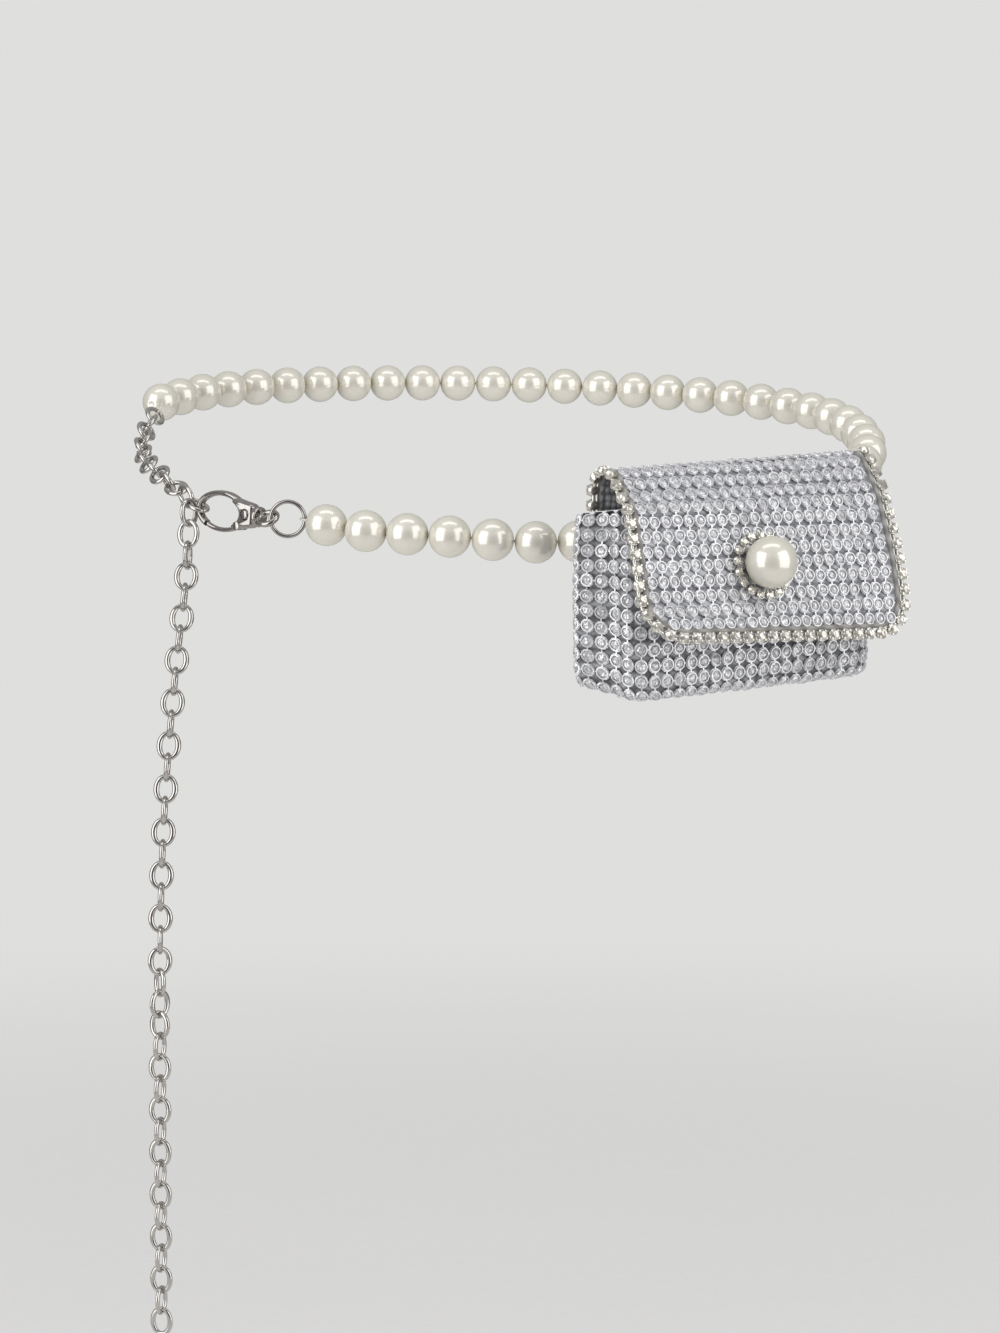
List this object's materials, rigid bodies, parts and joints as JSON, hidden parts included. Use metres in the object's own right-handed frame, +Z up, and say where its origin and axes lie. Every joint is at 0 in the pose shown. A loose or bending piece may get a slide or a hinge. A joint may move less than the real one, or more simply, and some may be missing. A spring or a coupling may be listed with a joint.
{
  "type": "beaded belt bag",
  "caption": "Waist belt of pearls with a snap clasp and an extender chain, carrying a mini bag of rhinestone mesh with a folded flap and a pearl button.",
  "frame": {"origin": "middle of the waist that the belt goes round, at the height where the waist is measured", "axes": "+Z up along the waist's axis, -Y the way the bag's front faces, +X to the right of the bag seen from its front"},
  "size_m": [0.244, 0.2553, 0.2862],
  "materials": {
    "pearl": "imitation pearl with a satin ivory coat",
    "nickel": "polished nickel plate",
    "rhinestone_mesh": "silver cups with clear stones, linked as a mesh",
    "cup_chain": "clear stones in warm silver cups",
    "strap": "plain grey webbing"
  },
  "bodies": {
    "belt_and_bag": {"pearl_string_front": "pearl", "pearl_string_back": "pearl", "waist_chain": "nickel", "tail_chain": "nickel", "jump_ring": "nickel", "clasp_hook": "nickel", "clasp_swivel_eye": "nickel", "bag_body": "rhinestone_mesh", "bag_flap": "rhinestone_mesh", "flap_trim": "cup_chain", "pearl_button": "pearl", "button_halo": "cup_chain", "back_loop": "strap"},
    "gate": {"clasp_gate": "nickel"}
  },
  "joints": [
    {"name": "gate_hinge", "type": "hinge", "parent": "belt_and_bag", "child": "gate", "pos_m": [-0.10009, -0.01751, -0.0218], "axis": [0.9494, 0.314, 0], "range_deg": [0, 25], "stiffness_Nm_per_rad": 0.02, "springref_deg": -28.65}
  ]
}
